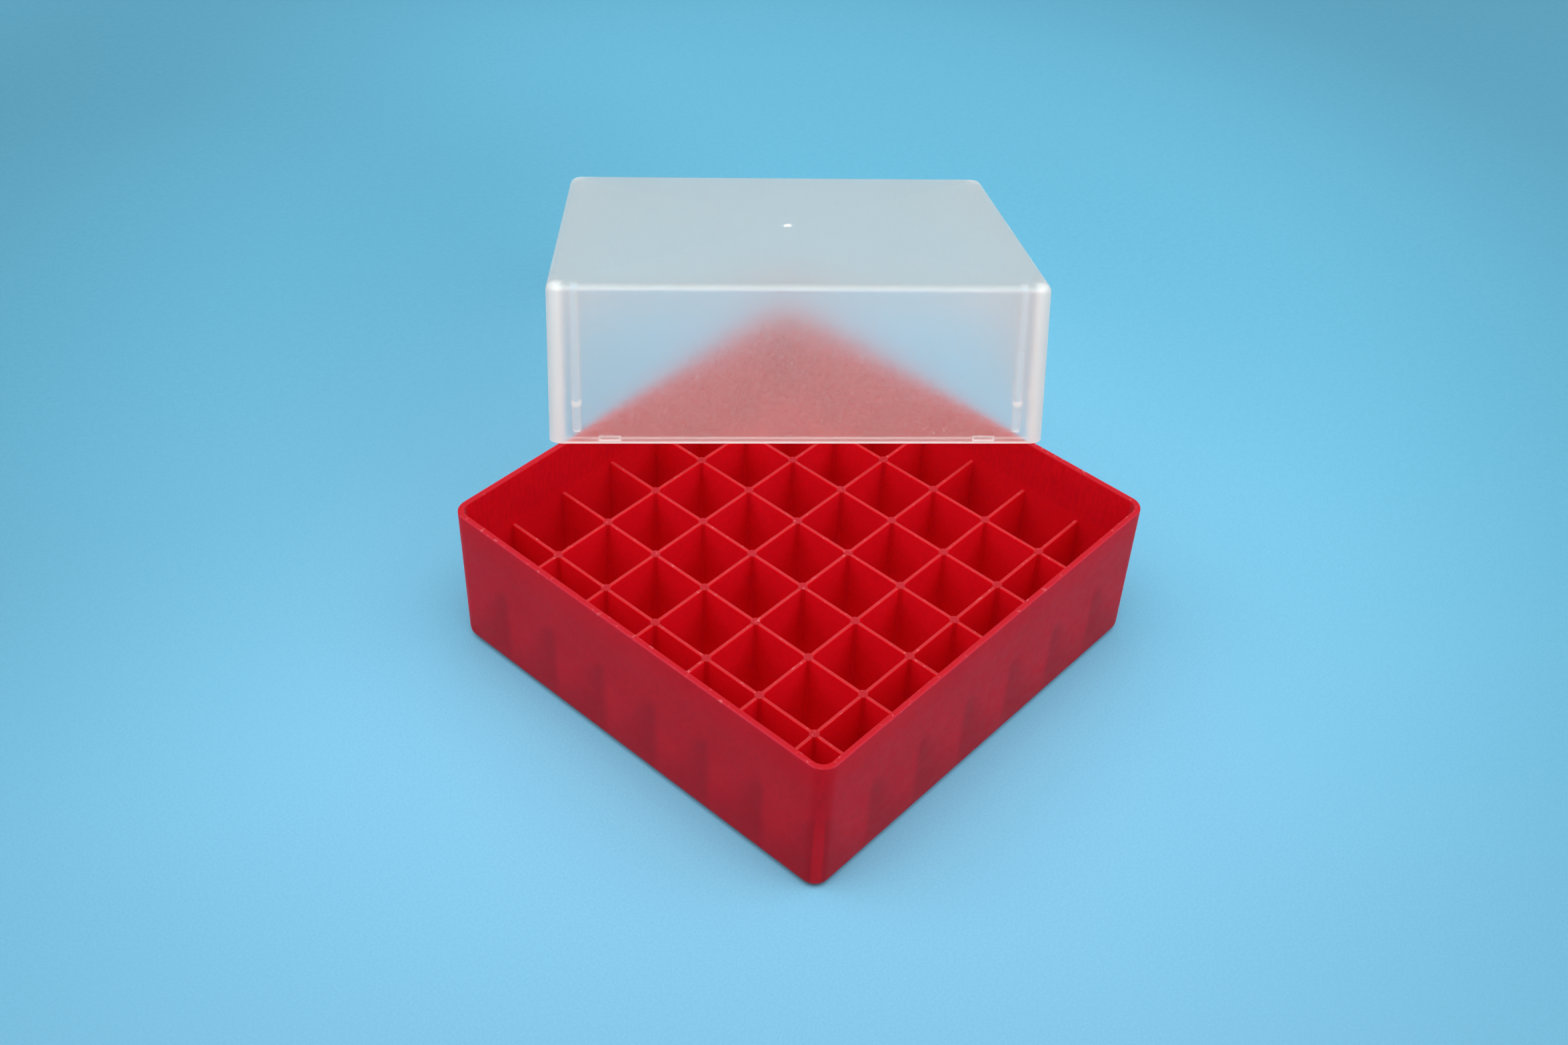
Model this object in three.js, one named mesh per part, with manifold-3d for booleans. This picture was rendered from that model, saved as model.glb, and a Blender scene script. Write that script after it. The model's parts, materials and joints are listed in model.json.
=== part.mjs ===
// Cryogenic storage box: a red tray with a moulded grid of square cells, and a frosted slip-over lid.
// The lid stands as it is put down during use: its front edge on the tray's rim, its back edge on the table,
// turned so that it crosses the tray from corner to corner.
// Millimetres, +Z up. The origin is the centre of the tray's underside, on the table.
import * as THREE from 'three';
import { mergeVertices } from 'three/addons/utils/BufferGeometryUtils.js';
import Module from 'manifold-3d';

const wasm = await Module();
wasm.setup();

// ---- driving dimensions -------------------------------------------------------------------------------------
// tray shell
const TRAY_WIDTH = 128;            // outside, at the rim
const TRAY_FOOT_WIDTH = 127.5;     // outside, at the underside
const TRAY_HEIGHT = 44;
const TRAY_WALL = 1.66;
const TRAY_FLOOR = 1.6;
const TRAY_CORNER_RADIUS = 4.65;
const TRAY_BOTTOM_RADIUS = 3;

// grid
const CELLS_PER_SIDE = 7;
const CELL_PITCH = 18;
const GRID_TOP = 28;
const DIVIDER_THICKNESS = 1;
const POST_RADIUS = 1.25;
const POST_PROUD = 0.2;            // the posts end a little above the dividers
const POST_SIDES = 12;

// lid
const LID_WIDTH = 133;             // outside, at the open rim
const LID_TOP_WIDTH = 132.8;
const LID_HEIGHT = 43.7;
const LID_WALL = 1.4;
const LID_PLATE = 1.5;
const LID_CORNER_RADIUS = 3.75;
const LID_TOP_RADIUS = 2.2;
const LID_INNER_TOP_RADIUS = 0.8;
const LEAD_IN_DEPTH = 0.7;         // bevel inside the open rim
const LEAD_IN_HEIGHT = 1.5;

// ribs and bumps inside the lid, two of each on every wall
const RIB_OFFSET = 58.9;           // from the middle of the wall
const RIB_WIDTH = 2.2;
const STOP_RIB_DEPTH = 2.4;
const STOP_RIB_START = 10.5;       // height above the open rim
const GUIDE_RIB_DEPTH = 0.8;
const GUIDE_RIB_START = 3;
const BUMP_OFFSET = 50.2;
const BUMP_LENGTH = 5.6;
const BUMP_RADIUS = 0.6;

// how the lid leans
const LEAN_YAW = THREE.MathUtils.degToRad(-45.3);
const LEAN_TILT = THREE.MathUtils.degToRad(19.65);
const LEAN_REACH = 25.05;          // from the tray's centre to the lid's front edge, along the diagonal

const CORNER_SEGMENTS = 5;
const EDGE_SEGMENTS = 3;
const OVERCUT = 1;                 // how far a cutting solid runs past the face that it cuts

// ---- materials ----------------------------------------------------------------------------------------------
const trayPlastic = new THREE.MeshStandardMaterial({ color: 0xb4101c, roughness: 0.4, metalness: 0 });
const lidPlastic = new THREE.MeshStandardMaterial({
  color: 0xc3d2da,
  roughness: 0.55,
  metalness: 0,
  transparent: true,
  opacity: 0.6,
});

// ---- solids -------------------------------------------------------------------------------------------------
function toSolid(geometry) {
  const bare = geometry.clone();
  bare.deleteAttribute('normal');
  bare.deleteAttribute('uv');
  const merged = mergeVertices(bare, 1e-4);
  return new wasm.Manifold(new wasm.Mesh({
    numProp: 3,
    vertProperties: new Float32Array(merged.attributes.position.array),
    triVerts: new Uint32Array(merged.index.array),
  }));
}

function toGeometry(solid) {
  const mesh = solid.getMesh();
  const geometry = new THREE.BufferGeometry();
  geometry.setAttribute('position', new THREE.BufferAttribute(new Float32Array(mesh.vertProperties), 3));
  geometry.setIndex(new THREE.BufferAttribute(new Uint32Array(mesh.triVerts), 1));
  geometry.computeVertexNormals();
  return geometry;
}

function named(name, geometry, material) {
  const mesh = new THREE.Mesh(geometry, material);
  mesh.name = name;
  return mesh;
}

function box(x0, x1, y0, y1, z0, z1) {
  return new THREE.BoxGeometry(x1 - x0, y1 - y0, z1 - z0)
    .translate((x0 + x1) / 2, (y0 + y1) / 2, (z0 + z1) / 2);
}

// A square with round corners, centred on the origin.
function roundedSquare(width, radius) {
  const half = width / 2;
  const inner = half - radius;
  const shape = new THREE.Shape();
  shape.moveTo(half, inner);
  shape.absarc(inner, inner, radius, 0, Math.PI / 2);
  shape.absarc(-inner, inner, radius, Math.PI / 2, Math.PI);
  shape.absarc(-inner, -inner, radius, Math.PI, 1.5 * Math.PI);
  shape.absarc(inner, -inner, radius, 1.5 * Math.PI, 2 * Math.PI);
  return shape;
}

// A square block from z = bottom to z = top with round upright edges, and round edges at both its ends.
// It widens evenly from widthAtBottom to widthAtTop.
function roundedBlock({ widthAtBottom, widthAtTop, cornerRadius, edgeRadius, bottom, top }) {
  const height = top - bottom;
  const outline = roundedSquare(widthAtBottom - 2 * edgeRadius, cornerRadius - edgeRadius);
  const geometry = new THREE.ExtrudeGeometry(outline, {
    depth: height - 2 * edgeRadius,
    curveSegments: CORNER_SEGMENTS,
    bevelEnabled: true,
    bevelThickness: edgeRadius,
    bevelSize: edgeRadius,
    bevelSegments: EDGE_SEGMENTS,
  });
  geometry.translate(0, 0, bottom + edgeRadius);
  const position = geometry.attributes.position;
  for (let i = 0; i < position.count; i++) {
    const share = (position.getZ(i) - bottom) / height;
    const scale = 1 + share * (widthAtTop / widthAtBottom - 1);
    position.setX(i, position.getX(i) * scale);
    position.setY(i, position.getY(i) * scale);
  }
  return geometry;
}

// A square block with round upright edges and flat ends.
function plainBlock(width, cornerRadius, bottom, top) {
  return new THREE.ExtrudeGeometry(roundedSquare(width, cornerRadius), {
    depth: top - bottom,
    curveSegments: CORNER_SEGMENTS,
    bevelEnabled: false,
  }).translate(0, 0, bottom);
}

// ---- tray ---------------------------------------------------------------------------------------------------
const TRAY_INSIDE = TRAY_WIDTH - 2 * TRAY_WALL;

function trayShell() {
  // The block's upper round edge lies above the rim and is cut away.
  const spare = 2 * TRAY_BOTTOM_RADIUS;
  const widening = (TRAY_WIDTH - TRAY_FOOT_WIDTH) / TRAY_HEIGHT;
  const block = toSolid(roundedBlock({
    widthAtBottom: TRAY_FOOT_WIDTH,
    widthAtTop: TRAY_WIDTH + widening * spare,
    cornerRadius: TRAY_CORNER_RADIUS,
    edgeRadius: TRAY_BOTTOM_RADIUS,
    bottom: 0,
    top: TRAY_HEIGHT + spare,
  }));
  const aboveRim = toSolid(box(-TRAY_WIDTH, TRAY_WIDTH, -TRAY_WIDTH, TRAY_WIDTH, TRAY_HEIGHT, 2 * TRAY_HEIGHT));
  const inside = toSolid(plainBlock(TRAY_INSIDE, TRAY_CORNER_RADIUS - TRAY_WALL, TRAY_FLOOR, 2 * TRAY_HEIGHT));
  return toGeometry(block.subtract(aboveRim).subtract(inside));
}

// ---- grid ---------------------------------------------------------------------------------------------------
// Where a row divider crosses a column divider, the row fills the lowest third of the height, the column the
// middle third and the post's solid head the top third. Below its head the post is four legs round the crossing.
const DIVIDERS_PER_SIDE = CELLS_PER_SIDE - 1;
const CROSSING_STEP = (GRID_TOP - TRAY_FLOOR) / 3;
const COLUMN_LEVEL = TRAY_FLOOR + CROSSING_STEP;
const POST_HEAD_LEVEL = TRAY_FLOOR + 2 * CROSSING_STEP;

function dividerPlace(index) {
  return (index - (DIVIDERS_PER_SIDE - 1) / 2) * CELL_PITCH;
}

function postCylinder(bottom, top) {
  return toSolid(new THREE.CylinderGeometry(POST_RADIUS, POST_RADIUS, top - bottom, POST_SIDES)
    .rotateX(Math.PI / 2)
    .rotateZ(Math.PI / POST_SIDES)
    .translate(0, 0, (bottom + top) / 2));
}

// A divider along X, centred on the origin, with the notches that the given levels leave for what crosses it.
function dividerStrip(crossings) {
  const half = DIVIDER_THICKNESS / 2;
  let strip = toSolid(box(-TRAY_INSIDE / 2, TRAY_INSIDE / 2, -half, half, TRAY_FLOOR, GRID_TOP));
  const head = postCylinder(POST_HEAD_LEVEL, GRID_TOP + OVERCUT);
  for (let i = 0; i < DIVIDERS_PER_SIDE; i++) {
    const x = dividerPlace(i);
    const [bottom, top] = crossings;
    const notch = toSolid(box(x - half, x + half, -OVERCUT, OVERCUT, bottom, top));
    strip = strip.subtract(notch).subtract(head.translate([x, 0, 0]));
  }
  return strip;
}

function rowDivider() {
  return toGeometry(dividerStrip([COLUMN_LEVEL, POST_HEAD_LEVEL]));
}

function columnDivider() {
  return toGeometry(dividerStrip([TRAY_FLOOR - OVERCUT, COLUMN_LEVEL])).rotateZ(Math.PI / 2);
}

function post() {
  const half = DIVIDER_THICKNESS / 2;
  const reach = 2 * POST_RADIUS;
  const alongRow = toSolid(box(-reach, reach, -half, half, 0, POST_HEAD_LEVEL));
  const alongColumn = toSolid(box(-half, half, -reach, reach, 0, POST_HEAD_LEVEL));
  return toGeometry(postCylinder(TRAY_FLOOR, GRID_TOP + POST_PROUD).subtract(alongRow).subtract(alongColumn));
}

// ---- lid ----------------------------------------------------------------------------------------------------
// Built upright in its own frame: open rim at z = 0, closed top at z = LID_HEIGHT.
const LID_INSIDE = LID_WIDTH - 2 * LID_WALL;
const LID_INSIDE_TOP = LID_TOP_WIDTH - 2 * LID_WALL;
const WALL_FACE = LID_INSIDE / 2;

function lidShell() {
  const spare = 2 * LID_TOP_RADIUS;
  const narrowing = (LID_WIDTH - LID_TOP_WIDTH) / LID_HEIGHT;
  const block = toSolid(roundedBlock({
    widthAtBottom: LID_WIDTH + narrowing * spare,
    widthAtTop: LID_TOP_WIDTH,
    cornerRadius: LID_CORNER_RADIUS,
    edgeRadius: LID_TOP_RADIUS,
    bottom: -spare,
    top: LID_HEIGHT,
  }));
  const belowRim = toSolid(box(-LID_WIDTH, LID_WIDTH, -LID_WIDTH, LID_WIDTH, -LID_HEIGHT, 0));
  const cavity = toSolid(roundedBlock({
    widthAtBottom: LID_INSIDE,
    widthAtTop: LID_INSIDE_TOP,
    cornerRadius: LID_CORNER_RADIUS - LID_WALL,
    edgeRadius: LID_INNER_TOP_RADIUS,
    bottom: -2 * LID_INNER_TOP_RADIUS,
    top: LID_HEIGHT - LID_PLATE,
  }));
  return block.subtract(belowRim).subtract(cavity).subtract(leadIn());
}

// The bevel inside the open rim: a pyramid stump with round edges. It runs as far below the rim as above it, so
// its lower end flares out by twice the bevel's depth on each side.
function leadIn() {
  const wide = LID_INSIDE + 2 * (2 * LEAD_IN_DEPTH);
  const narrow = LID_INSIDE;
  return toSolid(taperedBlock(wide, narrow, LID_CORNER_RADIUS - LID_WALL, -LEAD_IN_HEIGHT, LEAD_IN_HEIGHT));
}

function taperedBlock(widthAtBottom, widthAtTop, cornerRadius, bottom, top) {
  const geometry = plainBlock(widthAtTop, cornerRadius, bottom, top);
  const position = geometry.attributes.position;
  const flare = (widthAtBottom - widthAtTop) / 2;
  const inner = widthAtTop / 2 - cornerRadius;
  for (let i = 0; i < position.count; i++) {
    const outward = new THREE.Vector2(
      position.getX(i) - THREE.MathUtils.clamp(position.getX(i), -inner, inner),
      position.getY(i) - THREE.MathUtils.clamp(position.getY(i), -inner, inner),
    ).normalize();
    const share = (top - position.getZ(i)) / (top - bottom);
    position.setX(i, position.getX(i) + outward.x * flare * share);
    position.setY(i, position.getY(i) + outward.y * flare * share);
  }
  return geometry;
}

// A rib on the wall at y = -WALL_FACE: an upright bar with a half-round lower end.
function rib(depth, start, end) {
  const radius = RIB_WIDTH / 2;
  const face = new THREE.Shape();
  face.moveTo(radius, end);
  face.lineTo(-radius, end);
  face.absarc(0, start + radius, radius, Math.PI, 2 * Math.PI);
  const root = LID_WALL / 2;
  return new THREE.ExtrudeGeometry(face, {
    depth: depth + root,
    curveSegments: CORNER_SEGMENTS,
    bevelEnabled: false,
  }).rotateX(Math.PI / 2).translate(0, -WALL_FACE + depth, 0);
}

// A low half-round bar inside the rim of the wall at y = -WALL_FACE.
function snapBump() {
  return new THREE.CylinderGeometry(BUMP_RADIUS, BUMP_RADIUS, BUMP_LENGTH, 2 * CORNER_SEGMENTS)
    .rotateZ(Math.PI / 2)
    .translate(0, -WALL_FACE, LEAD_IN_HEIGHT + BUMP_RADIUS / 2);
}

function lidGeometry() {
  let solid = lidShell();
  const ribTop = LID_HEIGHT - LID_PLATE / 2;
  const details = [
    [RIB_OFFSET, toSolid(rib(STOP_RIB_DEPTH, STOP_RIB_START, ribTop))],
    [RIB_OFFSET, toSolid(rib(GUIDE_RIB_DEPTH, GUIDE_RIB_START, ribTop))],
    [BUMP_OFFSET, toSolid(snapBump())],
  ];
  for (let wall = 0; wall < 4; wall++) {
    for (const [offset, detail] of details) {
      for (const side of [-1, 1]) {
        solid = solid.add(detail.translate([side * offset, 0, 0]).rotate([0, 0, 90 * wall]));
      }
    }
  }
  return toGeometry(solid);
}

// ---- assembly -----------------------------------------------------------------------------------------------
const cryobox = new THREE.Group();

cryobox.add(named('tray', trayShell(), trayPlastic));

for (let i = 0; i < DIVIDERS_PER_SIDE; i++) {
  const row = named(`divider_row_${i + 1}`, rowDivider(), trayPlastic);
  row.position.y = dividerPlace(i);
  cryobox.add(row);

  const column = named(`divider_column_${i + 1}`, columnDivider(), trayPlastic);
  column.position.x = dividerPlace(i);
  cryobox.add(column);
}

for (let row = 0; row < DIVIDERS_PER_SIDE; row++) {
  for (let column = 0; column < DIVIDERS_PER_SIDE; column++) {
    const crossing = named(`post_${row + 1}_${column + 1}`, post(), trayPlastic);
    crossing.position.set(dividerPlace(column), dividerPlace(row), 0);
    cryobox.add(crossing);
  }
}

// The lid's back edge touches the table, so its rim's centre is half its sloping width above the table.
const halfLid = LID_WIDTH / 2;
const leaning = new THREE.Group();
leaning.rotation.z = LEAN_YAW;
const lid = named('lid', lidGeometry(), lidPlastic);
lid.rotation.x = -LEAN_TILT;
const diagonal = new THREE.Vector3(1, 1, 0).normalize();
const backward = new THREE.Vector3(-Math.sin(LEAN_YAW), Math.cos(LEAN_YAW), 0);
leaning.position.copy(diagonal.multiplyScalar(LEAN_REACH))
  .addScaledVector(backward, halfLid * Math.cos(LEAN_TILT));
leaning.position.z = halfLid * Math.sin(LEAN_TILT);
leaning.add(lid);
cryobox.add(leaning);

export default cryobox;
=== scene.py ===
# Cryogenic storage box: the looks of its red tray and its frosted lid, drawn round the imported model.
# Shapes are worked out in millimetres and made in metres, in the model's own frame.
import json
import math

import bmesh
import bpy
from mathutils import Matrix, Vector


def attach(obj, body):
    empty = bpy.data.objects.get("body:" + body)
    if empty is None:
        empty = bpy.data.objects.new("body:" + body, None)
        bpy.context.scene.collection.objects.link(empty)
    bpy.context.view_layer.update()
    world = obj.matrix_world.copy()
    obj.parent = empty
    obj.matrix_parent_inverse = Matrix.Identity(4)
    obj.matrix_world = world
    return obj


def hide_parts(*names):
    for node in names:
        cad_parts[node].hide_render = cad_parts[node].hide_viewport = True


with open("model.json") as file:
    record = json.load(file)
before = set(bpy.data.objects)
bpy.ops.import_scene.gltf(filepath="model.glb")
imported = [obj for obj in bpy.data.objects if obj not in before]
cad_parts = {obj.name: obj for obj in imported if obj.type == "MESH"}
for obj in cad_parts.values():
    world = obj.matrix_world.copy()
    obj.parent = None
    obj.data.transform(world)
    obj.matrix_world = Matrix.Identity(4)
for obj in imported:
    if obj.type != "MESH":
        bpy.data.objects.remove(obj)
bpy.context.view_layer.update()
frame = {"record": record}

MM = 0.001

# ---- driving dimensions, in millimetres --------------------------------------
# tray shell
TRAY_HALF = 64.0
TRAY_FOOT_HALF = 63.75
TRAY_HEIGHT = 44.0
TRAY_INSIDE_HALF = 62.34
TRAY_FLOOR = 1.6
TRAY_CORNER_RADIUS = 4.65
TRAY_BOTTOM_RADIUS = 3.0
RIM_EDGE_RADIUS = 0.28

# grid
CELLS_PER_SIDE = 7
CELL_PITCH = 18.0
GRID_TOP = 28.0
DIVIDER_HALF = 0.5
DIVIDER_EDGE_RADIUS = 0.2
DIVIDER_DRAFT = 0.22
CELL_FLOOR_RADIUS = 0.6
POST_RADIUS = 1.25
POST_TOP = 28.2
POST_EDGE_RADIUS = 0.13

# lid, in its own frame: open rim at z = 0
# The two outer radii are 0.15 larger than the faceted solid's, so that the finer arcs here stay in its box.
LID_HALF = 66.5
LID_TOP_HALF = 66.4
LID_HEIGHT = 43.7
LID_WALL = 1.4
LID_PLATE = 1.5
LID_CORNER_RADIUS = 3.9
LID_TOP_RADIUS = 2.35
LID_INNER_TOP_RADIUS = 0.8
LID_RIM_RADIUS = 0.2
LEAD_IN_DEPTH = 0.7
LEAD_IN_HEIGHT = 1.5
RIB_OFFSET = 58.9
RIB_WIDTH = 2.2
RIB_EDGE_RADIUS = 0.3
STOP_RIB_DEPTH = 2.4
STOP_RIB_START = 10.5
GUIDE_RIB_DEPTH = 0.8
GUIDE_RIB_START = 3.0
BUMP_OFFSET = 50.2
BUMP_LENGTH = 5.6
BUMP_RADIUS = 0.6
BUMP_HEIGHT = 1.25
BUMP_END = 0.4                  # how thick a bump is at its very ends, as a share of its middle
BUMP_TAPER = 0.35
BUMP_SIDES = 12
# the gate mark from its dimple to the tip of its stub: (radius, depth below the top)
GATE_PROFILE = (
    (3.4, 0.0), (2.8, 0.0), (2.5, 0.02), (2.2, 0.08), (1.8, 0.16), (1.5, 0.16),
    (1.25, 0.02), (1.1, -0.2), (0.85, -0.36), (0.45, -0.42),
)
# the rings smaller than this are uneven: (share of the radius, waves round the ring, turn in radians)
GATE_UNEVEN_WITHIN = 1.65
GATE_WAVES = ((0.22, 2, 0.6), (0.12, 5, 0.0), (0.06, 9, 0.0))

# how the lid leans
LEAN_YAW = math.radians(-45.3)
LEAN_TILT = math.radians(19.65)
LEAN_REACH = 25.05

# how finely shapes are drawn
ARC_STEPS = 6
CORNER_STEPS = 10
EDGE_STEPS = 3                  # on the small edges of dividers, posts and ribs
RIM_STEPS = 4
BOTTOM_STEPS = 8
TOP_STEPS = 10
TRAY_WALL_LEVELS = (34.0, 28.0, 20.0, 12.0)
LID_WALL_LEVELS = (30.0, 18.0, 8.0)
SHARP_ANGLE = math.radians(32)
WELD_DISTANCE = 0.0015


# ---- mesh helpers ------------------------------------------------------------
def arc(centre, radius, start, end, steps):
    """Points on an arc from start to end, both in degrees, ends included."""
    points = []
    for k in range(steps + 1):
        angle = math.radians(start + (end - start) * k / steps)
        points.append((centre[0] + radius * math.cos(angle), centre[1] + radius * math.sin(angle)))
    return points


def turned(point, quarters):
    """The point turned by that many quarter turns about the origin, counter-clockwise."""
    x, y = point
    for _ in range(quarters % 4):
        x, y = -y, x
    return (x, y)


def loft(faces, rows, closed=True):
    """Adds the quads between neighbouring rows of points. Every row has the same number of points."""
    for lower, upper in zip(rows, rows[1:]):
        count = len(lower)
        last = count if closed else count - 1
        for k in range(last):
            after = (k + 1) % count
            faces.append([lower[k], lower[after], upper[after], upper[k]])


def fan(faces, loop, centre):
    """Closes a loop of points with triangles to its centre."""
    for k in range(len(loop)):
        faces.append([loop[k], loop[(k + 1) % len(loop)], centre])


def mesh_object(name, faces):
    """One object from faces given by their corner points in millimetres. Corners that coincide are joined."""
    points = [p for face in faces for p in face]
    indexes = []
    start = 0
    for face in faces:
        indexes.append(list(range(start, start + len(face))))
        start += len(face)
    mesh = bpy.data.meshes.new(name)
    mesh.from_pydata(points, [], indexes)
    shape = bmesh.new()
    shape.from_mesh(mesh)
    bmesh.ops.remove_doubles(shape, verts=shape.verts, dist=WELD_DISTANCE)
    bmesh.ops.recalc_face_normals(shape, faces=shape.faces)
    bmesh.ops.scale(shape, vec=(MM, MM, MM), verts=shape.verts)
    shape.to_mesh(mesh)
    shape.free()
    piece = bpy.data.objects.new(name, mesh)
    bpy.context.scene.collection.objects.link(piece)
    return piece


def smooth(piece):
    """Smooth shading that stops at the sharp edges."""
    piece.data.shade_smooth()
    piece.data.set_sharp_from_angle(angle=SHARP_ANGLE)


def unite(piece, others):
    """Joins the other closed shapes to the piece, one after another, and removes them."""
    for other in others:
        joining = piece.modifiers.new("union", "BOOLEAN")
        joining.operation = "UNION"
        joining.solver = "MANIFOLD"
        joining.object = other
        bpy.context.view_layer.update()
        graph = bpy.context.evaluated_depsgraph_get()
        united = bpy.data.meshes.new_from_object(piece.evaluated_get(graph))
        piece.modifiers.clear()
        piece.data = united
        bpy.data.objects.remove(other)


def cover(piece, material):
    """Gives the whole piece one material."""
    piece.data.materials.clear()
    piece.data.materials.append(material)
    for face in piece.data.polygons:
        face.material_index = 0


def keep_own_frame(piece):
    """Stores where each vertex is in the piece's own frame, for materials that follow its features."""
    places = piece.data.attributes.new("own_frame", "FLOAT_VECTOR", "POINT")
    for vertex in piece.data.vertices:
        places.data[vertex.index].vector = vertex.co


# ---- tray --------------------------------------------------------------------
DIVIDERS = [(k - (CELLS_PER_SIDE - 2) / 2) * CELL_PITCH for k in range(CELLS_PER_SIDE - 1)]
DIVIDER_EDGE = GRID_TOP - DIVIDER_EDGE_RADIUS      # where a divider's side starts to round over
POST_EDGE = POST_TOP - POST_EDGE_RADIUS
INNER_CORNER_RADIUS = TRAY_CORNER_RADIUS - (TRAY_HALF - TRAY_INSIDE_HALF)
CORNER_CENTRE = TRAY_INSIDE_HALF - INNER_CORNER_RADIUS


def divider_section():
    """The top of a divider, with its round edges: points (across, height) from one side to the other."""
    inner = DIVIDER_HALF - DIVIDER_EDGE_RADIUS
    left = arc((-inner, DIVIDER_EDGE), DIVIDER_EDGE_RADIUS, 180, 90, EDGE_STEPS)
    right = arc((inner, DIVIDER_EDGE), DIVIDER_EDGE_RADIUS, 90, 0, EDGE_STEPS)
    return left + right


def cell_corner(bounds, quarter, inset):
    """One corner of a cell's outline, and whether it lies on a post.

    bounds holds (place, is it the tray's wall) for the sides +X, +Y, -X and -Y.
    """
    ahead = bounds[quarter]
    beyond = bounds[(quarter + 1) % 4]
    along_x = ahead if quarter % 2 == 0 else beyond
    along_y = beyond if quarter % 2 == 0 else ahead
    if ahead[1] and beyond[1]:
        centre = (math.copysign(CORNER_CENTRE, along_x[0]), math.copysign(CORNER_CENTRE, along_y[0]))
        start = 90 * quarter
        return arc(centre, INNER_CORNER_RADIUS - inset, start, start + 90, CORNER_STEPS), False
    if not ahead[1] and not beyond[1]:
        half = DIVIDER_HALF + inset
        radius = POST_RADIUS + inset
        edge = math.degrees(math.asin(half / radius))
        points = []
        for x, y in arc((0, 0), radius, 270 - edge, 180 + edge, ARC_STEPS):
            u, v = turned((x, y), quarter)
            points.append((along_x[0] + u, along_y[0] + v))
        return points, True
    signs = turned((1, 1), quarter)
    x = along_x[0] - signs[0] * (inset if along_x[1] else DIVIDER_HALF + inset)
    y = along_y[0] - signs[1] * (inset if along_y[1] else DIVIDER_HALF + inset)
    return [(x, y)], False


def cell_bounds(column, row):
    """What a cell ends at on its sides +X, +Y, -X and -Y: (place, is it the tray's wall)."""
    last = CELLS_PER_SIDE - 1
    east = (TRAY_INSIDE_HALF, True) if column == last else (DIVIDERS[column], False)
    north = (TRAY_INSIDE_HALF, True) if row == last else (DIVIDERS[row], False)
    west = (-TRAY_INSIDE_HALF, True) if column == 0 else (DIVIDERS[column - 1], False)
    south = (-TRAY_INSIDE_HALF, True) if row == 0 else (DIVIDERS[row - 1], False)
    return [east, north, west, south]


def cell_outline(bounds, inset):
    """A cell's outline, counter-clockwise, narrowed by inset, and the index ranges that lie on posts."""
    points = []
    on_posts = []
    for quarter in range(4):
        corner, is_post = cell_corner(bounds, quarter, inset)
        if is_post:
            on_posts.append((len(points), len(points) + len(corner) - 1))
        points += corner
    return points, on_posts


def cell_profile():
    """A cell's side from its floor to the edge of its top: (inset, height)."""
    rows = []
    for k in range(ARC_STEPS, -1, -1):
        angle = math.radians(90 * k / ARC_STEPS)
        inset = DIVIDER_DRAFT + CELL_FLOOR_RADIUS * (1 - math.cos(angle))
        rows.append((inset, TRAY_FLOOR + CELL_FLOOR_RADIUS * (1 - math.sin(angle))))
    rows.append((DIVIDER_DRAFT / 2, (DIVIDER_EDGE + TRAY_FLOOR + CELL_FLOOR_RADIUS) / 2))
    rows.append((0.0, DIVIDER_EDGE))
    return rows


def add_cell(faces, column, row):
    """A cell's floor and sides, and the parts of its posts that stand above the dividers."""
    bounds = cell_bounds(column, row)
    rows = []
    for inset, height in cell_profile():
        outline, on_posts = cell_outline(bounds, inset)
        rows.append([(x, y, height) for x, y in outline])
    loft(faces, rows)
    middle_x = (bounds[0][0] + bounds[2][0]) / 2
    middle_y = (bounds[1][0] + bounds[3][0]) / 2
    fan(faces, rows[0], (middle_x, middle_y, TRAY_FLOOR))
    for first, last in on_posts:
        lower = rows[-1][first:last + 1]
        loft(faces, [lower, [(x, y, POST_EDGE) for x, y, _ in lower]], closed=False)


def add_divider_tops(faces):
    """The round-edged tops between the posts, and between a post and the tray's wall, along X and along Y."""
    section = divider_section()
    for place in DIVIDERS:
        for cell in range(CELLS_PER_SIDE):
            start = []
            end = []
            for across, height in section:
                reach = math.sqrt(POST_RADIUS ** 2 - across ** 2)
                low = -TRAY_INSIDE_HALF if cell == 0 else DIVIDERS[cell - 1] + reach
                high = TRAY_INSIDE_HALF if cell == CELLS_PER_SIDE - 1 else DIVIDERS[cell] - reach
                start.append((low, place + across, height))
                end.append((high, place + across, height))
            loft(faces, [start, end], closed=False)
            loft(faces, [[(y, x, z) for x, y, z in side] for side in (start, end)], closed=False)


def add_post_tops(faces):
    """The posts' round-edged tops, with the small steps where the dividers meet them."""
    section = divider_section()
    edge = math.degrees(math.asin(DIVIDER_HALF / POST_RADIUS))
    for centre_x in DIVIDERS:
        for centre_y in DIVIDERS:
            ring = []
            for quarter in range(4):
                facing = []
                for across, height in section:
                    reach = math.sqrt(POST_RADIUS ** 2 - across ** 2)
                    x, y = turned((reach, across), quarter)
                    facing.append((centre_x + x, centre_y + y, height))
                loft(faces, [facing, [(x, y, POST_EDGE) for x, y, _ in facing]], closed=False)
                ring += [(x, y) for x, y, _ in facing]
                for point in arc((0, 0), POST_RADIUS, edge, 90 - edge, ARC_STEPS)[1:-1]:
                    x, y = turned(point, quarter)
                    ring.append((centre_x + x, centre_y + y))
            rows = []
            for k in range(EDGE_STEPS + 1):
                angle = math.radians(90 * k / EDGE_STEPS)
                share = 1 - POST_EDGE_RADIUS * (1 - math.cos(angle)) / POST_RADIUS
                height = POST_EDGE + POST_EDGE_RADIUS * math.sin(angle)
                rows.append([
                    (centre_x + (x - centre_x) * share, centre_y + (y - centre_y) * share, height)
                    for x, y in ring
                ])
            loft(faces, rows)
            fan(faces, rows[-1], (centre_x, centre_y, POST_TOP))


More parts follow.
